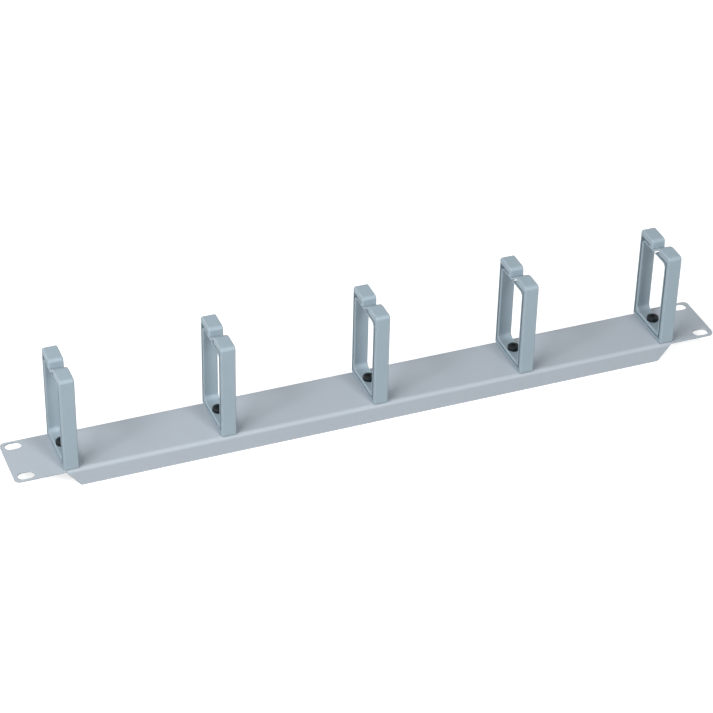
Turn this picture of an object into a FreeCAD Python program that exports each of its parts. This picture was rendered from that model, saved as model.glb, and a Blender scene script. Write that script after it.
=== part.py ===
import FreeCAD, Part
import math
import os

# Rack cable organizer, one rack unit high. A 19-inch steel panel is folded back along both long
# edges, and five split plastic rings stand on its front, each held by one screw, a washer and a
# nut. Cables are pressed past the flexible tongue of a ring and lie in its window.
#
# Frame: the origin is the middle of the back of the ears, where the panel meets the rack posts.
# X runs along the panel, Y across it, and Z out of its front face, the way that the rings stand.
# All sizes are in millimetres.

# Slots in the ears for the rack screws: their spacing is the rack's, and all else follows it
slot_spacing_x = 465.1
slot_spacing_y = 31.75
slot_width = 7.4
slot_length = 10.8

# Panel, folded from one sheet
ear_past_slots = 7.95  # slot middle to the ear's end
ear_beside_slots = 4.72  # slot middle to the ear's long edge
slot_to_fold = 24.05  # slot middle to where the folded part begins
sheet = 1.2
ear_corner_r = 3.5
bend_inner_r = 1.4
flange_depth = 13.0  # front face to flange edge
flange_slant = 9.2  # along X, at each end of a flange
flange_corner_r = 2.5

# Rings: one closed-looking loop of moulded bar, with a groove along each side
ring_count = 5
fold_past_rings = 3.7  # middle of an end ring to the end of the folded part
ring_beside_edge = 0.4  # how far a ring stays inside the panel's long edge
ring_height = 67.2
ring_width = 9.6  # along X
front_bar = 5.5  # thickness of the loop at its front, rear, foot and top
rear_bar = 4.7
foot_bar = 5.5
top_bar = 7.5
rim = 1.6  # rib round the window, on the inner side of each groove
groove_width = 1.7
web = 3.0  # wall left between the two grooves
ring_top_r = 2.6
ring_foot_r = 1.2
window_top_r = 2.4
window_foot_r = 1.5
groove_corner_r = 0.5
ring_edge_r = 0.9

# Mouth of a ring: a fixed arm at the rear, a thin sloping tongue at the front
arm_end = 3.2  # foot of the fixed arm's end face, along Y
arm_end_lean = 0.5
arm_end_r = 2.6
arm_lip_r = 0.5
arm_block = 2.6  # solid end of the fixed arm, without a groove
tongue_start = -5.9  # where the front arm's top starts to fall
tongue_start_r = 8.0
tongue_gap = 0.6
tongue_tip_rise = 1.6  # of the tip's top above the fixed arm's foot
tongue_root_thick = 1.7  # under the start of its slope, along Z
tongue_tip_thick = 1.6
tongue_root_inset = 0.3
rim_end_reach = 5.2  # how far the rim runs on below the tongue
rim_end_thick = 1.3

# Screw, washer and nut under each ring
screw_d = 4.0
screw_offset_y = 1.3
head_d = 8.0
head_height = 3.1
head_edge_r = 1.3
head_crown = 0.35
recess_span = 4.4  # across the cross, at the head's top and at the recess's floor
recess_floor_span = 1.9
recess_blade = 0.95
recess_depth = 1.7
screw_past_nut = 0.8
screw_tip_chamfer = 0.6
hole_clearance = 0.4
boss_wall = 1.7
washer_clearance = 0.3
washer_d = 9.0
washer_thick = 0.8
nut_flats = 7.0
nut_face_d = 6.5  # round face that the chamfers leave at each end
nut_chamfer_angle = 30.0
nut_height = 3.2
nut_bore_clearance = 0.04

tool_reach = 1.0  # how far a cutting shape runs past what it cuts

panel_width = slot_spacing_x + 2 * ear_past_slots
panel_height = slot_spacing_y + 2 * ear_beside_slots
flange_length = slot_spacing_x - 2 * slot_to_fold
flange_edge_length = flange_length - 2 * flange_slant
bend_outer_r = bend_inner_r + sheet
front_face = sheet
ring_pitch = (flange_length - 2 * fold_past_rings) / (ring_count - 1)
ring_rear = panel_height / 2 - ring_beside_edge
ring_front = -ring_rear
window_top = ring_height - top_bar
hole_d = screw_d + hole_clearance


def vec(x, y, z):
    return FreeCAD.Vector(x, y, z)


def rounded_wire(corners):
    """Closed wire through (point, radius) corners, with each corner rounded by its radius."""
    pieces = []
    for k, (here, radius) in enumerate(corners):
        back = corners[k - 1][0] - here
        ahead = corners[(k + 1) % len(corners)][0] - here
        back.normalize()
        ahead.normalize()
        half = back.getAngle(ahead) / 2
        reach = radius / math.tan(half)
        start = here + back * reach
        end = here + ahead * reach
        if radius > 0:
            inward = back + ahead
            inward.normalize()
            middle = here + inward * (radius / math.sin(half) - radius)
            pieces.append((start, end, Part.Arc(start, middle, end).toShape()))
        else:
            pieces.append((start, end, None))
    edges = []
    for k, (start, end, arc) in enumerate(pieces):
        if arc:
            edges.append(arc)
        following = pieces[(k + 1) % len(pieces)][0]
        if end.distanceToPoint(following) > 1e-6:
            edges.append(Part.makeLine(end, following))
    return Part.Wire(edges)


def side_prism(corners, x_from, x_to):
    """Prism along X over an outline of (y, z, radius) corners."""
    wire = rounded_wire([(vec(x_from, y, z), r) for y, z, r in corners])
    return Part.Face(wire).extrude(vec(x_to - x_from, 0, 0))


def front_prism(corners, y_from, y_to):
    """Prism along Y over an outline of (x, z, radius) corners."""
    wire = rounded_wire([(vec(x, y_from, z), r) for x, z, r in corners])
    return Part.Face(wire).extrude(vec(0, y_to - y_from, 0))


def cylinder(radius, z_from, z_to, x=0.0, y=0.0):
    return Part.makeCylinder(radius, z_to - z_from, vec(x, y, z_from))


def slot_cutter(x, y):
    """Rack slot with round ends, long along X, through the sheet."""
    reach = (slot_length - slot_width) / 2
    low = -tool_reach
    high = sheet + tool_reach
    middle = Part.makeBox(2 * reach, slot_width, high - low, vec(x - reach, y - slot_width / 2, low))
    left = cylinder(slot_width / 2, low, high, x - reach, y)
    right = cylinder(slot_width / 2, low, high, x + reach, y)
    return middle.fuse([left, right]).removeSplitter()


def ring_places():
    """X of each ring's screw, from left to right."""
    first = -(ring_count - 1) * ring_pitch / 2
    return [first + k * ring_pitch for k in range(ring_count)]


def make_panel():
    half_w = panel_width / 2
    half_h = panel_height / 2
    edge_z = front_face - flange_depth

    # Flat plate with rounded ear corners, over the whole width
    plate = Part.makeBox(panel_width, panel_height, sheet, vec(-half_w, -half_h, 0))
    corners = [e for e in plate.Edges if abs(e.tangentAt(e.FirstParameter).z) > 0.99]
    plate = plate.makeFillet(ear_corner_r, corners)

    # Folded middle: a channel section, trimmed by the slanted ends of its flanges
    outer = [
        (-half_h, edge_z, 0),
        (half_h, edge_z, 0),
        (half_h, front_face, bend_outer_r),
        (-half_h, front_face, bend_outer_r),
    ]
    inner = [
        (-half_h + sheet, edge_z - tool_reach, 0),
        (half_h - sheet, edge_z - tool_reach, 0),
        (half_h - sheet, 0, bend_inner_r),
        (-half_h + sheet, 0, bend_inner_r),
    ]
    half_fold = flange_length / 2
    half_edge = flange_edge_length / 2
    channel = side_prism(outer, -half_fold, half_fold)
    channel = channel.cut(side_prism(inner, -half_fold - tool_reach, half_fold + tool_reach))
    trim = [
        (-half_edge, edge_z, flange_corner_r),
        (half_edge, edge_z, flange_corner_r),
        (half_fold, 0, 0),
        (half_fold, front_face, 0),
        (-half_fold, front_face, 0),
        (-half_fold, 0, 0),
    ]
    channel = channel.common(front_prism(trim, -half_h, half_h))

    # Between the ears the plate gives way to the folded part
    middle = Part.makeBox(flange_length, panel_height, sheet, vec(-half_fold, -half_h, 0))
    panel = channel.fuse(plate.cut(middle)).removeSplitter()

    cutters = []
    for side in (-1, 1):
        for row in (-1, 1):
            cutters.append(slot_cutter(side * slot_spacing_x / 2, row * slot_spacing_y / 2))
    for x in ring_places():
        cutters.append(cylinder(hole_d / 2, -tool_reach, sheet + tool_reach, x, screw_offset_y))
    return panel.cut(cutters)


def make_ring():
    """One ring about its own middle plane, standing on z = 0."""
    window_front = ring_front + front_bar
    window_rear = ring_rear - rear_bar
    tip_y = arm_end - tongue_gap
    arm_top_y = arm_end + arm_end_lean

    # The tongue's top falls in a straight line, to end close before the fixed arm's end face
    tip_top = window_top + tongue_tip_rise
    root_y = tongue_start - tongue_root_inset
    rim_y = root_y + rim_end_reach
    groove_top = window_top + rim + groove_width
    outline = [
        (arm_end, window_top, arm_lip_r),
        (window_rear, window_top, window_top_r),
        (window_rear, foot_bar, window_foot_r),
        (window_front, foot_bar, window_foot_r),
        (window_front, window_top, window_top_r),
        (rim_y, window_top, 0),
        (rim_y, window_top + rim_end_thick, 0),
        (root_y, window_top + rim, 0),
        (root_y, ring_height - tongue_root_thick, 0),
        (tip_y, tip_top - tongue_tip_thick, 0),
        (tip_y, tip_top, 0),
        (tongue_start, ring_height, tongue_start_r),
        (ring_front, ring_height, ring_top_r),
        (ring_front, 0, ring_foot_r),
        (ring_rear, 0, ring_foot_r),
        (ring_rear, ring_height, ring_top_r),
        (arm_top_y, ring_height, arm_end_r),
    ]
    ring = side_prism(outline, -ring_width / 2, ring_width / 2)
    ring = ring.makeFillet(ring_edge_r, [e for e in ring.Edges if rounds_off(e)])

    # Grooves: the same outline is cut into both sides, down to the web
    inner_r = window_top_r + rim
    outer_rear = window_rear + rim + groove_width
    outer_front = window_front - rim - groove_width
    outer_foot = foot_bar - rim - groove_width
    groove = [
        (arm_top_y + arm_block, groove_top, 0),
        (outer_rear, groove_top, groove_corner_r),
        (outer_rear, outer_foot, groove_corner_r),
        (outer_front, outer_foot, groove_corner_r),
        (outer_front, groove_top, groove_corner_r),
        (root_y, groove_top, 0),
        (root_y, window_top + rim, 0),
        (window_front - rim, window_top + rim, inner_r),
        (window_front - rim, foot_bar - rim, window_foot_r),
        (window_rear + rim, foot_bar - rim, window_foot_r),
        (window_rear + rim, window_top + rim, inner_r),
        (arm_top_y + arm_block, window_top + rim, 0),
    ]
    grooves = [
        side_prism(groove, -ring_width / 2 - tool_reach, -web / 2),
        side_prism(groove, web / 2, ring_width / 2 + tool_reach),
    ]
    ring = ring.cut(grooves)

    # Boss that carries the screw through the grooved foot, from wall to wall of the grooves
    boss_r = hole_d / 2 + boss_wall
    boss = cylinder(boss_r, outer_foot / 2, foot_bar - rim / 2, 0, screw_offset_y)
    hole = cylinder(hole_d / 2, -tool_reach, foot_bar + tool_reach, 0, screw_offset_y)
    return ring.fuse(boss).cut(hole).removeSplitter()


def rounds_off(edge):
    """True for the longer edges of a ring's two side faces, apart from those of the tongue."""
    box = edge.BoundBox
    if box.XLength > 1e-6:
        return False
    on_tongue = box.YMin > tongue_start - tongue_start_r and box.YMax < arm_end - tongue_gap / 2
    return not on_tongue and box.YLength + box.ZLength > arm_lip_r


def make_screw():
    """Pan-head screw with a cross recess, its head seated on z = 0 and its shank downwards."""
    length = foot_bar + sheet + washer_thick + nut_height + screw_past_nut
    r = head_d / 2
    top = head_height - head_crown
    shank_r = screw_d / 2
    tip_r = shank_r - screw_tip_chamfer
    thread_end = -length + screw_tip_chamfer
    side_top = vec(r, 0, top - head_edge_r)
    turn = head_edge_r * (1 - math.sqrt(0.5))
    flat_r = r - head_edge_r
    crown_start = vec(flat_r, 0, top)
    crown_r = (flat_r**2 + head_crown**2) / (2 * head_crown)
    crown_middle_z = head_height - crown_r + math.sqrt(crown_r**2 - flat_r**2 / 4)
    edges = [
        Part.makeLine(vec(0, 0, -length), vec(tip_r, 0, -length)),
        Part.makeLine(vec(tip_r, 0, -length), vec(shank_r, 0, thread_end)),
        Part.makeLine(vec(shank_r, 0, thread_end), vec(shank_r, 0, 0)),
        Part.makeLine(vec(shank_r, 0, 0), vec(r, 0, 0)),
        Part.makeLine(vec(r, 0, 0), side_top),
        Part.Arc(side_top, vec(r - turn, 0, top - turn), crown_start).toShape(),
        Part.Arc(crown_start, vec(flat_r / 2, 0, crown_middle_z), vec(0, 0, head_height)).toShape(),
        Part.makeLine(vec(0, 0, head_height), vec(0, 0, -length)),
    ]
    screw = Part.Face(Part.Wire(edges)).revolve(vec(0, 0, 0), vec(0, 0, 1), 360)
    return screw.cut([recess_blade_cutter(0), recess_blade_cutter(90)])


def recess_blade_cutter(angle):
    """One tapered blade of the cross recess, wide at the head's top and narrow at its floor."""
    floor_z = head_height - recess_depth
    half_top = recess_span / 2
    half_floor = recess_floor_span / 2
    blade = front_prism(
        [
            (-half_floor, floor_z, 0),
            (half_floor, floor_z, 0),
            (half_top, head_height, 0),
            (half_top, head_height + tool_reach, 0),
            (-half_top, head_height + tool_reach, 0),
            (-half_top, head_height, 0),
        ],
        -recess_blade / 2,
        recess_blade / 2,
    )
    blade.rotate(vec(0, 0, 0), vec(0, 0, 1), angle)
    return blade


def make_washer():
    """Plain washer that hangs down from z = 0."""
    bore = cylinder((screw_d + washer_clearance) / 2, -washer_thick - tool_reach, tool_reach)
    return cylinder(washer_d / 2, -washer_thick, 0).cut(bore)


def make_nut():
    """Hexagon nut that hangs down from z = 0, with both faces chamfered."""
    corner_r = nut_flats / math.sqrt(3)
    points = []
    for k in range(7):
        angle = math.radians(60 * k)
        points.append(vec(corner_r * math.cos(angle), corner_r * math.sin(angle), -nut_height))
    body = Part.Face(Part.makePolygon(points)).extrude(vec(0, 0, nut_height))
    face_r = nut_face_d / 2
    wide_r = face_r + nut_height / math.tan(math.radians(nut_chamfer_angle))
    foot = vec(0, 0, -nut_height)
    upper_cone = Part.makeCone(wide_r, face_r, nut_height, foot)
    lower_cone = Part.makeCone(face_r, wide_r, nut_height, foot)
    bore = cylinder((screw_d + nut_bore_clearance) / 2, -nut_height - tool_reach, tool_reach)
    return body.common(upper_cone).common(lower_cone).cut(bore)


def placed(shape, x, y, z):
    copy = shape.copy()
    copy.translate(vec(x, y, z))
    return copy


def build():
    """All pieces by name, each where it belongs."""
    ring = make_ring()
    screw = make_screw()
    washer = make_washer()
    nut = make_nut()
    pieces = {"panel": make_panel()}
    for k, x in enumerate(ring_places(), start=1):
        pieces[f"ring_{k}"] = placed(ring, x, 0, front_face)
        pieces[f"screw_{k}"] = placed(screw, x, screw_offset_y, front_face + foot_bar)
        pieces[f"washer_{k}"] = placed(washer, x, screw_offset_y, 0)
        pieces[f"nut_{k}"] = placed(nut, x, screw_offset_y, -washer_thick)
    return pieces


os.makedirs("parts", exist_ok=True)
for name, shape in build().items():
    solid = shape.Solids[0] if len(shape.Solids) == 1 else shape
    solid.exportStep(f"parts/{name}.step")
    print(name, "solids", len(shape.Solids), "valid", shape.isValid(), "volume", round(shape.Volume, 1))
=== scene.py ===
import math

import bmesh
import bpy
from mathutils import Matrix, Vector


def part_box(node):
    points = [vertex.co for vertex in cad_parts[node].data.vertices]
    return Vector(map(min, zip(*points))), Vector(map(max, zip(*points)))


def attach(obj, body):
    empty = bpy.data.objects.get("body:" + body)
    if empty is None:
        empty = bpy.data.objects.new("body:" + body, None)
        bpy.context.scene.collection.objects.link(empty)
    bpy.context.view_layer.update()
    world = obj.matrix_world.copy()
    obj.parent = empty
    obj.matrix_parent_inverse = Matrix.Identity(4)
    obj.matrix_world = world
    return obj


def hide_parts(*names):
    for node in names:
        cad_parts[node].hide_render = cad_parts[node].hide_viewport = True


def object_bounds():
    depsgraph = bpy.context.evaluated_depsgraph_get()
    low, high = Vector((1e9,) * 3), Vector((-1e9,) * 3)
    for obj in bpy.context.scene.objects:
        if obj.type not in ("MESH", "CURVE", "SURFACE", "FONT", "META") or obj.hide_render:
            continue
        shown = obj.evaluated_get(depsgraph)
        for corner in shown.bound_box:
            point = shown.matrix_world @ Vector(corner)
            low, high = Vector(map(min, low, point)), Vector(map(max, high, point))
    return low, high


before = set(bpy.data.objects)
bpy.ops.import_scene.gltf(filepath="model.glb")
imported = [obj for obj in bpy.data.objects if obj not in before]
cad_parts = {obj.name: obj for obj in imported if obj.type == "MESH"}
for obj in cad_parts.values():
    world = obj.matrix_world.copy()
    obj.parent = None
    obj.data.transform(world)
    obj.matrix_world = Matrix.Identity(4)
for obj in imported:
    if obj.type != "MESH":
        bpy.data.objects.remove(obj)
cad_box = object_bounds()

# Looks of a rack cable organizer: a folded, powder-coated panel with five split plastic rings,
# each held by a black screw, a washer and a nut. All sizes are in metres, in the frame of the part:
# X along the panel, Y across it towards the rear, Z out of its front face.

MM = 0.001
RINGS = (1, 2, 3, 4, 5)
CREASE_ANGLE = math.radians(38)  # edges that bend more than this are drawn sharp

# Screws: the part's own sizes, with a real thread on the shank
SCREW_SIZES = {
    "Head Radius": 4.0 * MM,
    "Head Height": 3.1 * MM,
    "Head Edge Radius": 1.3 * MM,
    "Head Crown": 0.35 * MM,
    "Recess Span": 4.4 * MM,
    "Recess Floor Span": 1.9 * MM,
    "Recess Blade": 0.95 * MM,
    "Recess Depth": 1.7 * MM,
    "Thread Radius": 2.0 * MM,
    "Thread Pitch": 0.7 * MM,
    "Thread Depth": 0.38 * MM,
    "Tip Chamfer": 0.6 * MM,
}
SHANK_ROOT = 0.2  # how far the shank reaches into the head, as a share of the thread's radius
FLANK_START = 0.1  # where a flank of the thread starts and ends, as shares of half a pitch
FLANK_END = 0.85
CROWN_END = 0.94  # how far in the crown's last row of points lies; a flat cap closes the rest
BLADE_HEIGHT = 1.25  # in depths of the recess, so that its blades stand out of the head

# Foot corners of a ring's window: rounder than in the part's source, so they are filled here
FRONT_BAR = 5.5 * MM
REAR_BAR = 4.7 * MM
FOOT_BAR = 5.5 * MM
RING_EDGE_R = 0.9 * MM
SOURCE_CORNER_R = 1.5 * MM
SEEN_CORNER_R = 3.4 * MM
FILLET_ROOT = 1.2 * MM  # how deep a fillet is rooted in the ring, less than the rib's 1.6
FILLET_SINK = 0.008 * MM  # keeps its faces from lying in the ring's own
FILLET_STEPS = 16  # round the corner
EDGE_STEPS = 6  # round each of its edges

# Colours of the finishes, as linear values
COAT = (0.395, 0.442, 0.489)
COAT_EDGE_HIGHLIGHT_AND_WEAR = 1.25  # painted highlight and rubbed wear on the edges, times the finish's own colour
PLASTIC = (0.296, 0.3745, 0.4275)
# painted highlight on the rings' edges, times the plastic's own colour
PLASTIC_EDGE_HIGHLIGHT = 1.3
BLACK_OXIDE = (0.005, 0.009, 0.011)
WORN_STEEL = (0.05, 0.052, 0.056)
ZINC = (0.60, 0.62, 0.63)
EDGE_SAMPLES = 6

# Floor
FLOOR = (0.5, 0.5, 0.5)
FLOOR_HALF = 6.0
FLOOR_GLOW = 0.75  # near the part, where its shadow shows
FLOOR_GLOW_NEAR = 0.45  # metres from the middle: from here the glow rises to full white
FLOOR_GLOW_FAR = 0.95

# Lamps, each turned to the middle of the part: name, place, width in metres, power in watts
MIDDLE = (0.0, 0.0, 0.0)
LAMPS = (
    ("softbox_key", (-1.3, -0.9, 1.3), 0.8, 22.9),
    ("softbox_left", (-1.5, -0.3, 1.4), 0.8, 13.8),
    ("softbox_front", (0.3, -1.6, 1.2), 0.5, 23.0),
    ("softbox_above", (0.0, 0.0, 2.2), 1.2, 4.2),
    ("softbox_rear", (-0.9, 1.5, 0.4), 0.8, 7.0),
    ("softbox_right", (1.8, 0.2, 0.3), 0.8, 5.0),
)

# Camera, fitted to the panel's slots and edges in the photograph
CAMERA_PLACE = Vector((-0.4940, -1.1989, 0.9321))
CAMERA_RIGHT = Vector((0.93214, -0.36154, 0.02006))
CAMERA_UP = Vector((0.19205, 0.54057, 0.81909))
SENSOR = 36.0
FOCAL_PIXELS = 2465.4
IMAGE_PIXELS = 713


def set_camera():
    data = bpy.data.cameras.new("camera")
    data.sensor_width = SENSOR
    data.lens = FOCAL_PIXELS / IMAGE_PIXELS * SENSOR
    data.clip_start = 0.01
    data.clip_end = 50.0
    camera = bpy.data.objects.new("camera", data)
    right = CAMERA_RIGHT.normalized()
    back = right.cross(CAMERA_UP).normalized()
    up = back.cross(right)
    turn = Matrix((right, up, back)).transposed()
    camera.matrix_world = Matrix.Translation(CAMERA_PLACE) @ turn.to_4x4()
    bpy.context.scene.collection.objects.link(camera)
    bpy.context.scene.camera = camera


# Shader and geometry trees


class Tree:
    """Short calls for adding and joining nodes in a shader tree or a geometry tree."""

    def __init__(self, tree):
        self.tree = tree

    def add(self, kind, inputs=None, **settings):
        node = self.tree.nodes.new(kind)
        for name, value in settings.items():
            setattr(node, name, value)
        for socket, value in (inputs or {}).items():
            self.feed(node.inputs[socket], value)
        return node

    def feed(self, socket, value):
        if isinstance(value, bpy.types.NodeSocket):
            self.tree.links.new(value, socket)
        else:
            socket.default_value = value

    def math(self, operation, first, second=0.0, clamp=False):
        sockets = {0: first, 1: second}
        node = self.add("ShaderNodeMath", sockets, operation=operation, use_clamp=clamp)
        return node.outputs[0]

    def spread(self, value, low=0.0, high=1.0, start=0.0, end=1.0):
        """A value that goes from start to end, mapped to low to high."""
        sockets = {
            "Value": value,
            "From Min": start,
            "From Max": end,
            "To Min": low,
            "To Max": high,
        }
        return self.add("ShaderNodeMapRange", sockets).outputs["Result"]

    def noise(self, size, detail, roughness=0.5):
        """Noise on the piece's own place, in patches of about the given size."""
        sockets = {
            "Vector": self.add("ShaderNodeTexCoord").outputs["Object"],
            "Scale": self.math("DIVIDE", 1.0, size),
            "Detail": detail,
            "Roughness": roughness,
        }
        return self.add("ShaderNodeTexNoise", sockets).outputs["Fac"]

    def position(self):
        """X, Y and Z of each point of the mesh."""
        place = self.add("GeometryNodeInputPosition").outputs[0]
        return self.add("ShaderNodeSeparateXYZ", {0: place}).outputs

    def vector(self, x=0.0, y=0.0, z=0.0):
        return self.add("ShaderNodeCombineXYZ", {"X": x, "Y": y, "Z": z}).outputs[0]

    def moved(self, mesh, place):
        """The mesh with each point at its new place."""
        sockets = {"Geometry": mesh, "Position": place}
        return self.add("GeometryNodeSetPosition", sockets).outputs[0]


def shader_group(name, inputs, outputs):
    """Empty node group with named sockets, as (group, Tree, its inputs, its outputs)."""
    group = bpy.data.node_groups.new(name, "ShaderNodeTree")
    for label, value in inputs.items():
        socket = group.interface.new_socket(label, in_out="INPUT", socket_type="NodeSocketFloat")
        socket.default_value = value
    for label, kind in outputs.items():
        group.interface.new_socket(label, in_out="OUTPUT", socket_type=kind)
    entry = group.nodes.new("NodeGroupInput")
    leave = group.nodes.new("NodeGroupOutput")
    return group, Tree(group), entry.outputs, leave.inputs


def make_grain_group():
    """Fine surface grain: a Height for bump and a slow Tone from 0 to 1, sizes in metres."""
    group, t, given, out = shader_group(
        "surface_grain",
        {"Grain Size": 0.0005, "Grain Depth": 1.0, "Patch Size": 0.03, "Roughness Of Grain": 0.5},
        {"Height": "NodeSocketFloat", "Tone": "NodeSocketFloat"},
    )
    fine = t.noise(given["Grain Size"], detail=2.0, roughness=given["Roughness Of Grain"])
    t.feed(out["Height"], t.math("MULTIPLY", fine, given["Grain Depth"]))
    t.feed(out["Tone"], t.noise(given["Patch Size"], detail=3.0))
    return group


def make_edge_group():
    """Mask that is 1 on outer edges, from how far a rounded normal leans away from the flat one."""
    # Its mask lightens edges: painted highlight and wear on the coat, painted highlight on the
    # plastic, worn steel on the screws.
    group, t, given, out = shader_group(
        "edge_wear_and_highlight_group",
        {"Edge Radius": 0.0004, "Amount": 1.0, "Patch Size": 0.004},
        {"Mask": "NodeSocketFloat", "Normal": "NodeSocketVector"},
    )
    bevel = t.add("ShaderNodeBevel", {"Radius": given["Edge Radius"]}, samples=EDGE_SAMPLES)
    rounded = bevel.outputs[0]
    flat = t.add("ShaderNodeNewGeometry").outputs["Normal"]
    lean = t.add("ShaderNodeVectorMath", {0: rounded, 1: flat}, operation="DOT_PRODUCT")
    edge = t.math("SUBTRACT", 1.0, lean.outputs["Value"], clamp=True)
    broken = t.math("MULTIPLY", edge, t.noise(given["Patch Size"], detail=3.0))
    t.feed(out["Mask"], t.math("MULTIPLY", broken, given["Amount"], clamp=True))
    t.feed(out["Normal"], rounded)
    return group


def start_material(name):
    material = bpy.data.materials.new(name)
    material.use_nodes = True
    t = Tree(material.node_tree)
    shader = material.node_tree.nodes["Principled BSDF"]
    return material, t, shader


def mixed(t, mask, first, second):
    """Colour that goes from the first to the second, each a colour or a socket, by a mask."""
    node = t.add("ShaderNodeMix", {"Factor": mask}, data_type="RGBA")
    ends = [socket for socket in node.inputs if socket.type == "RGBA"]
    for socket, colour in zip(ends, (first, second)):
        t.feed(socket, colour if isinstance(colour, bpy.types.NodeSocket) else (*colour, 1.0))
    return next(socket for socket in node.outputs if socket.type == "RGBA")


def shade(colour, factor):
    return tuple(channel * factor for channel in colour)


def patchy(t, tone, colour, darkest, lightest):
    """The colour in soft patches, from darkest to lightest times its own value."""
    return mixed(t, tone, shade(colour, darkest), shade(colour, lightest))


def feed_bump(t, shader, skin, edge_wear_and_highlight, strength, distance):
    """Bump from the grain's height, on top of the rounded normal of the edges."""
    bump = t.add(
        "ShaderNodeBump",
        {
            "Strength": strength,
            "Distance": distance,
            "Height": skin.outputs["Height"],
            "Normal": edge_wear_and_highlight.outputs["Normal"],
        },
    )
    t.feed(shader.inputs["Normal"], bump.outputs["Normal"])


def make_coat(grain, edges):
    """Satin powder coat over steel: faint orange peel, soft patches, slightly polished edges,
    lighter in colour as painted highlight and wear.
    """
    material, t, shader = start_material("powder_coat")
    peel = t.add(
        "ShaderNodeGroup",
        {"Grain Size": 0.0011, "Grain Depth": 1.0, "Patch Size": 0.045},
        node_tree=grain,
    )
    edge_wear_and_highlight = t.add(
        "ShaderNodeGroup",
        {"Edge Radius": 0.00035, "Amount": 0.5, "Patch Size": 0.006},
        node_tree=edges,
    )
    body = patchy(t, peel.outputs["Tone"], COAT, darkest=0.97, lightest=1.03)
    # Edges lighter in colour: painted highlight, partly rubbed wear.
    worn_and_highlit_colour = mixed(t, edge_wear_and_highlight.outputs["Mask"], body, shade(COAT, COAT_EDGE_HIGHLIGHT_AND_WEAR))
    t.feed(shader.inputs["Base Color"], worn_and_highlit_colour)
    rough = t.spread(peel.outputs["Tone"], low=0.50, high=0.62)
    t.feed(shader.inputs["Roughness"], t.math("SUBTRACT", rough, edge_wear_and_highlight.outputs["Mask"]))
    feed_bump(t, shader, peel, edge_wear_and_highlight, strength=0.35, distance=0.00003)
    shader.inputs["Specular IOR Level"].default_value = 0.4
    return material


def make_plastic(grain, edges):
    """Bluish grey moulded plastic with a fine spark-eroded grain and a painted highlight on its
    edges.
    """
    material, t, shader = start_material("moulded_plastic")
    skin = t.add(
        "ShaderNodeGroup",
        {"Grain Size": 0.00028, "Grain Depth": 1.0, "Patch Size": 0.012, "Roughness Of Grain": 0.6},
        node_tree=grain,
    )
    edge_wear_and_highlight = t.add(
        "ShaderNodeGroup",
        {"Edge Radius": 0.0003, "Amount": 0.6, "Patch Size": 0.003},
        node_tree=edges,
    )
    body = patchy(t, skin.outputs["Tone"], PLASTIC, darkest=0.95, lightest=1.05)
    # Painted highlight: the edges are lighter in colour.
    worn_and_highlit_colour = mixed(t, edge_wear_and_highlight.outputs["Mask"], body, shade(PLASTIC, PLASTIC_EDGE_HIGHLIGHT))
    t.feed(shader.inputs["Base Color"], worn_and_highlit_colour)
    t.feed(shader.inputs["Roughness"], t.spread(skin.outputs["Tone"], low=0.46, high=0.6))
    feed_bump(t, shader, skin, edge_wear_and_highlight, strength=0.4, distance=0.00003)
    return material


def make_black(grain, edges):
    """Black oxide on the screws, thin enough to show a little steel on the edges."""
    material, t, shader = start_material("black_oxide")
    skin = t.add(
        "ShaderNodeGroup", {"Grain Size": 0.0002, "Patch Size": 0.002}, node_tree=grain
    )
    edge_wear_and_highlight = t.add(
        "ShaderNodeGroup",
        {"Edge Radius": 0.00012, "Amount": 0.8, "Patch Size": 0.001},
        node_tree=edges,
    )
    # Here the edges show only worn steel, no painted highlight.
    worn_and_highlit_colour = mixed(t, edge_wear_and_highlight.outputs["Mask"], BLACK_OXIDE, WORN_STEEL)
    t.feed(shader.inputs["Base Color"], worn_and_highlit_colour)
    t.feed(shader.inputs["Roughness"], t.spread(skin.outputs["Tone"], low=0.45, high=0.65))
    shader.inputs["Specular IOR Level"].default_value = 0.22
    feed_bump(t, shader, skin, edge_wear_and_highlight, strength=0.3, distance=0.00002)
    return material


def make_zinc(grain, edges):
    """Bright zinc plate on the washers and nuts, with the slight mottling of barrel plating."""
    material, t, shader = start_material("zinc_plate")
    skin = t.add(
        "ShaderNodeGroup", {"Grain Size": 0.0003, "Patch Size": 0.0015}, node_tree=grain
    )
    edge_wear_and_highlight = t.add("ShaderNodeGroup", {"Edge Radius": 0.00015}, node_tree=edges)
    body = patchy(t, skin.outputs["Tone"], ZINC, darkest=0.86, lightest=1.1)
    t.feed(shader.inputs["Base Color"], body)
    shader.inputs["Metallic"].default_value = 1.0
    t.feed(shader.inputs["Roughness"], t.spread(skin.outputs["Tone"], low=0.24, high=0.42))
    feed_bump(t, shader, skin, edge_wear_and_highlight, strength=0.3, distance=0.00002)
    return material


def dress(material, *names):
    for name in names:
        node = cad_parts[name]
        if node.material_slots:
            for slot in node.material_slots:
                slot.material = material
        else:
            node.data.materials.append(material)


# Geometry trees


def start_tree(name, taken, sizes, given_back):
    """Empty geometry tree with named inputs, as (tree, Tree, input sockets, output sockets)."""
    tree = bpy.data.node_groups.new(name, "GeometryNodeTree")
    tree.interface.new_socket(taken, in_out="INPUT", socket_type="NodeSocketGeometry")
    for label in sizes:
        tree.interface.new_socket(label, in_out="INPUT", socket_type="NodeSocketFloat")
    tree.interface.new_socket("Finish", in_out="INPUT", socket_type="NodeSocketMaterial")
    tree.interface.new_socket(given_back, in_out="OUTPUT", socket_type="NodeSocketGeometry")
    given = tree.nodes.new("NodeGroupInput").outputs
    leave = tree.nodes.new("NodeGroupOutput").inputs
    return tree, Tree(tree), given, leave


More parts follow.
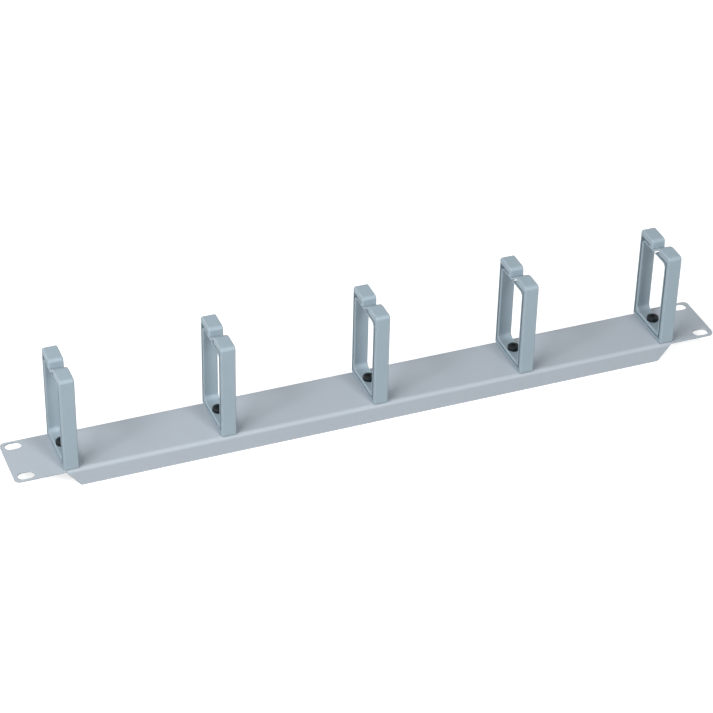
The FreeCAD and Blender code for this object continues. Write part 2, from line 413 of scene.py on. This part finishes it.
def placed_on(t, points, piece, finish):
    """The piece on each point, as real mesh with its finish."""
    placed = t.add("GeometryNodeInstanceOnPoints", {"Points": points, "Instance": piece})
    whole = t.add("GeometryNodeRealizeInstances", {"Geometry": placed.outputs[0]})
    sockets = {"Geometry": whole.outputs[0], "Material": finish}
    return t.add("GeometryNodeSetMaterial", sockets).outputs[0]


def run_tree(piece, tree, values):
    """Runs a geometry tree on a piece, and leaves the result as the piece's plain mesh."""
    modifier = piece.modifiers.new(tree.name, "NODES")
    modifier.node_group = tree
    for socket in tree.interface.items_tree:
        if socket.in_out == "INPUT" and socket.name in values:
            modifier[socket.identifier] = values[socket.name]
    bpy.context.view_layer.update()
    made = piece.evaluated_get(bpy.context.evaluated_depsgraph_get())
    mesh = bpy.data.meshes.new_from_object(made)
    piece.modifiers.clear()
    piece.data = mesh


# Screws


def lathe_positions(t, radius, height):
    """Vector field that keeps each point's angle about Z and gives it a new radius and height."""
    place = t.position()
    angle = t.math("ARCTAN2", place["Y"], place["X"])
    x = t.math("MULTIPLY", radius, t.math("COSINE", angle))
    y = t.math("MULTIPLY", radius, t.math("SINE", angle))
    return t.vector(x, y, height)


def unit_cylinder(t, around, along):
    """Cylinder of radius 1 that stands from z = 0 to z = 1, and the field of its height."""
    mesh = t.add(
        "GeometryNodeMeshCylinder",
        {"Vertices": around, "Side Segments": along, "Radius": 1.0, "Depth": 1.0},
    )
    return mesh.outputs["Mesh"], t.math("ADD", t.position()["Z"], 0.5)


def threaded_shank(t, given):
    """Shank below z = 0, with a V thread cut into it and a chamfer at its tip."""
    # An odd number of sides keeps the corners off the line where the angle starts anew
    around, turns_drawn, steps_a_turn = 41, 18, 8
    mesh, height = unit_cylinder(t, around, turns_drawn * steps_a_turn)
    into_head = t.math("MULTIPLY", given["Thread Radius"], SHANK_ROOT)
    reach = t.math("ADD", given["Length"], into_head)
    from_top = t.math("MULTIPLY", t.math("SUBTRACT", 1.0, height), reach)
    below = t.math("SUBTRACT", from_top, into_head)
    place = t.position()
    turned = t.math("DIVIDE", t.math("ARCTAN2", place["Y"], place["X"]), 2 * math.pi)
    along = t.math("ADD", t.math("DIVIDE", below, given["Thread Pitch"]), turned)
    wave = t.math("MULTIPLY", t.math("PINGPONG", along, 0.5), 2.0)
    flank = t.spread(wave, start=FLANK_START, end=FLANK_END)
    sunk = t.math("MULTIPLY", t.math("SUBTRACT", 1.0, flank), given["Thread Depth"])
    thread = t.math("SUBTRACT", given["Thread Radius"], sunk)
    to_tip = t.math("SUBTRACT", given["Length"], below)
    tip_end = t.math("SUBTRACT", given["Thread Radius"], given["Tip Chamfer"])
    radius = t.math("MINIMUM", thread, t.math("ADD", tip_end, to_tip))
    return t.moved(mesh, lathe_positions(t, radius, t.math("MULTIPLY", below, -1.0)))


def pan_head(t, given):
    """Head on z = 0: a short straight side, a rounded edge and a slightly crowned top."""
    # 62 sides keep the recess, whose corners lie at 45 degrees, off the lines of this mesh
    around, side, edge, crown = 62, 2, 8, 8
    steps = side + edge + crown
    mesh, height = unit_cylinder(t, around, steps)
    step = t.math("MULTIPLY", height, float(steps))
    on_side = t.spread(step, end=side)
    on_edge = t.spread(step, start=side, end=side + edge, high=math.pi / 2)
    on_crown = t.spread(step, start=side + edge, end=steps, high=CROWN_END)
    flat_r = t.math("SUBTRACT", given["Head Radius"], given["Head Edge Radius"])
    top = t.math("SUBTRACT", given["Head Height"], given["Head Crown"])
    side_top = t.math("SUBTRACT", top, given["Head Edge Radius"])
    inward = t.math("SUBTRACT", 1.0, on_crown)
    radius = t.math(
        "ADD",
        t.math("MULTIPLY", flat_r, inward),
        t.math("MULTIPLY", given["Head Edge Radius"], t.math("COSINE", on_edge)),
    )
    on_fillet = t.math("MULTIPLY", given["Head Edge Radius"], t.math("SINE", on_edge))
    rise = t.math("ADD", t.math("MULTIPLY", side_top, on_side), on_fillet)
    bulge = t.math("SUBTRACT", 1.0, t.math("MULTIPLY", inward, inward))
    rise = t.math("ADD", rise, t.math("MULTIPLY", given["Head Crown"], bulge))
    return t.moved(mesh, lathe_positions(t, radius, rise))


def recess_blade(t, given, angle):
    """One tapered blade of the cross recess, a little higher than the head."""
    block = t.add("GeometryNodeMeshCube", {"Size": (1.0, 1.0, 1.0)}).outputs["Mesh"]
    place = t.position()
    height = t.math("ADD", place["Z"], 0.5)
    part_way = t.math("MULTIPLY", height, BLADE_HEIGHT)
    rise = t.math("MULTIPLY", given["Recess Depth"], part_way)
    floor_z = t.math("SUBTRACT", given["Head Height"], given["Recess Depth"])
    widening = t.math("SUBTRACT", given["Recess Span"], given["Recess Floor Span"])
    span = t.math("ADD", given["Recess Floor Span"], t.math("MULTIPLY", widening, part_way))
    x = t.math("MULTIPLY", place["X"], span)
    y = t.math("MULTIPLY", place["Y"], given["Recess Blade"])
    blade = t.moved(block, t.vector(x, y, t.math("ADD", floor_z, rise)))
    sockets = {"Geometry": blade, "Rotation": (0.0, 0.0, angle)}
    return t.add("GeometryNodeTransform", sockets).outputs[0]


def make_screw_tree():
    """Geometry tree: one threaded screw, with its seat on each point of the mesh."""
    sizes = (*SCREW_SIZES, "Length")
    tree, t, given, leave = start_tree("threaded_screws", "Seats", sizes, "Screws")
    body = t.add("GeometryNodeMeshBoolean", operation="UNION", solver="EXACT")
    t.feed(body.inputs["Mesh 2"], pan_head(t, given))
    t.feed(body.inputs["Mesh 2"], threaded_shank(t, given))
    screw = t.add(
        "GeometryNodeMeshBoolean",
        {"Mesh 1": body.outputs["Mesh"]},
        operation="DIFFERENCE",
        solver="EXACT",
    )
    t.feed(screw.inputs["Mesh 2"], recess_blade(t, given, 0.0))
    t.feed(screw.inputs["Mesh 2"], recess_blade(t, given, math.pi / 2))

    whole = {"Geometry": screw.outputs["Mesh"]}
    smooth = t.add("GeometryNodeSetShadeSmooth", whole, domain="FACE")
    bend = t.add("GeometryNodeInputMeshEdgeAngle").outputs["Unsigned Angle"]
    sharp = t.add("FunctionNodeCompare", {0: bend, 1: CREASE_ANGLE}, operation="GREATER_THAN")
    creased = t.add(
        "GeometryNodeSetShadeSmooth",
        {"Geometry": smooth.outputs[0], "Selection": sharp.outputs[0], "Shade Smooth": False},
        domain="EDGE",
    )
    t.feed(leave["Screws"], placed_on(t, given["Seats"], creased.outputs[0], given["Finish"]))
    return tree


def make_screws(finish):
    """All five screws as one plain mesh, in place of the part's plain ones."""
    seats = []
    for k in RINGS:
        low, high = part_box(f"screw_{k}")
        seat_z = high.z - SCREW_SIZES["Head Height"]
        length = seat_z - low.z
        seats.append(((low.x + high.x) / 2, (low.y + high.y) / 2, seat_z))
    points = bpy.data.meshes.new("screw_seats")
    points.from_pydata(seats, [], [])
    screws = bpy.data.objects.new("screws", points)
    bpy.context.scene.collection.objects.link(screws)
    run_tree(screws, make_screw_tree(), {**SCREW_SIZES, "Length": length, "Finish": finish})
    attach(screws, "root")
    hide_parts(*(f"screw_{k}" for k in RINGS))


# Foot corners of the rings' windows


def fillet_section(depth, half_width):
    """Section across a fillet as (x, depth) points, with the same rounded edges as the ring."""
    arc = []
    for step in range(EDGE_STEPS + 1):
        turn = math.radians(90 / EDGE_STEPS * step)
        x = half_width - RING_EDGE_R * (1 - math.cos(turn))
        arc.append((x, RING_EDGE_R * (1 - math.sin(turn))))
    right = [(half_width, depth), *arc]
    return right + [(-x, below) for x, below in reversed(right)]


def add_fillet(shape, wall, side, foot, half_width):
    """One filled corner between a window's wall at y = wall and its foot at z = foot."""
    reach = SEEN_CORNER_R - FILLET_SINK
    centre = Vector((0.0, wall + side * reach, foot + reach))
    gap_at_middle = (math.sqrt(2) - 1) * (SEEN_CORNER_R - SOURCE_CORNER_R)
    rows = []
    for step in range(FILLET_STEPS + 1):
        angle = math.pi / 2 * step / FILLET_STEPS
        outward = Vector((0.0, -side * math.cos(angle), -math.sin(angle)))
        depth = FILLET_ROOT + gap_at_middle * math.sin(2 * angle) ** 2
        row = []
        for x, below in fillet_section(depth, half_width):
            across = Vector((x, 0.0, 0.0))
            row.append(shape.verts.new(centre + outward * (SEEN_CORNER_R + below) + across))
        rows.append(row)
    for near, far in zip(rows, rows[1:]):
        for k in range(len(near)):
            shape.faces.new((near[k - 1], near[k], far[k], far[k - 1]))
    shape.faces.new(rows[0])
    shape.faces.new(reversed(rows[-1]))


def make_row_tree():
    """Geometry tree: the piece it is given, repeated evenly along X, once for each ring."""
    sizes = ("First Ring", "Ring Pitch")
    tree, t, given, leave = start_tree("row_of_rings", "Piece", sizes, "Pieces")
    row = {
        "Count": len(RINGS),
        "Start Location": t.vector(x=given["First Ring"]),
        "Offset": t.vector(x=given["Ring Pitch"]),
    }
    places = t.add("GeometryNodeMeshLine", row).outputs["Mesh"]
    t.feed(leave["Pieces"], placed_on(t, places, given["Piece"], given["Finish"]))
    return tree


def make_foot_fillets(finish):
    """Fillets in the two foot corners of each ring's window."""
    low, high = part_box("ring_1")
    next_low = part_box("ring_2")[0]
    half_width = (high.x - low.x) / 2 - FILLET_SINK
    shape = bmesh.new()
    add_fillet(shape, low.y + FRONT_BAR, 1, low.z + FOOT_BAR, half_width)
    add_fillet(shape, high.y - REAR_BAR, -1, low.z + FOOT_BAR, half_width)
    bmesh.ops.recalc_face_normals(shape, faces=shape.faces)
    for face in shape.faces:
        face.smooth = True
    data = bpy.data.meshes.new("window_fillets")
    shape.to_mesh(data)
    shape.free()
    data.set_sharp_from_angle(angle=CREASE_ANGLE)
    fillets = bpy.data.objects.new("window_fillets", data)
    bpy.context.scene.collection.objects.link(fillets)
    values = {
        "First Ring": (low.x + high.x) / 2,
        "Ring Pitch": next_low.x - low.x,
        "Finish": finish,
    }
    run_tree(fillets, make_row_tree(), values)
    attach(fillets, "root")


# Floor, light and world


def seen_directly(t):
    """1 for the camera, for reflections and through glass; 0 for rays that carry light."""
    path = t.add("ShaderNodeLightPath").outputs
    seen = t.math("MAXIMUM", path["Is Camera Ray"], path["Is Glossy Ray"])
    return t.math("MAXIMUM", seen, path["Is Transmission Ray"])


def make_floor(level):
    """Pale floor that shows as white to the camera and keeps a soft shadow."""
    mesh = bpy.data.meshes.new("floor")
    signs = ((-1, -1), (1, -1), (1, 1), (-1, 1))
    corners = [(x * FLOOR_HALF, y * FLOOR_HALF, level) for x, y in signs]
    mesh.from_pydata(corners, [], [(0, 1, 2, 3)])
    floor = bpy.data.objects.new("floor", mesh)
    bpy.context.scene.collection.objects.link(floor)
    material = bpy.data.materials.new("floor")
    material.use_nodes = True
    t = Tree(material.node_tree)
    material.node_tree.nodes.remove(material.node_tree.nodes["Principled BSDF"])
    output = material.node_tree.nodes["Material Output"]
    matt = t.add("ShaderNodeBsdfDiffuse", {"Color": (*FLOOR, 1.0)})
    place = t.add("ShaderNodeTexCoord").outputs["Object"]
    distance = t.add("ShaderNodeVectorMath", {0: place}, operation="LENGTH").outputs["Value"]
    white = t.spread(distance, low=FLOOR_GLOW, start=FLOOR_GLOW_NEAR, end=FLOOR_GLOW_FAR)
    glow = t.add("ShaderNodeEmission", {"Strength": t.math("MULTIPLY", seen_directly(t), white)})
    both = t.add("ShaderNodeAddShader", {0: matt.outputs[0], 1: glow.outputs[0]})
    t.feed(output.inputs["Surface"], both.outputs[0])
    mesh.materials.append(material)


def make_world():
    """White to the camera and in reflections; it gives no other light."""
    world = bpy.data.worlds.new("studio")
    world.use_nodes = True
    bpy.context.scene.world = world
    background = world.node_tree.nodes["Background"]
    background.inputs["Color"].default_value = (1.0, 1.0, 1.0, 1.0)
    t = Tree(world.node_tree)
    t.feed(background.inputs["Strength"], seen_directly(t))


def add_lamp(name, place, width, power):
    data = bpy.data.lights.new(name, "AREA")
    data.shape = "SQUARE"
    data.size = width
    data.energy = power
    lamp = bpy.data.objects.new(name, data)
    lamp.location = place
    aim = Vector(MIDDLE) - Vector(place)
    lamp.rotation_euler = aim.to_track_quat("-Z", "Y").to_euler()
    bpy.context.scene.collection.objects.link(lamp)


set_camera()
grain_group = make_grain_group()
edge_group = make_edge_group()
dress(make_coat(grain_group, edge_group), "panel")
plastic = make_plastic(grain_group, edge_group)
dress(plastic, *(f"ring_{k}" for k in RINGS))
make_foot_fillets(plastic)
make_screws(make_black(grain_group, edge_group))
zinc = make_zinc(grain_group, edge_group)
dress(zinc, *(f"washer_{k}" for k in RINGS))
dress(zinc, *(f"nut_{k}" for k in RINGS))
make_floor(cad_box[0].z)
make_world()
for lamp in LAMPS:
    add_lamp(*lamp)

scene = bpy.context.scene
scene.view_settings.view_transform = "Standard"
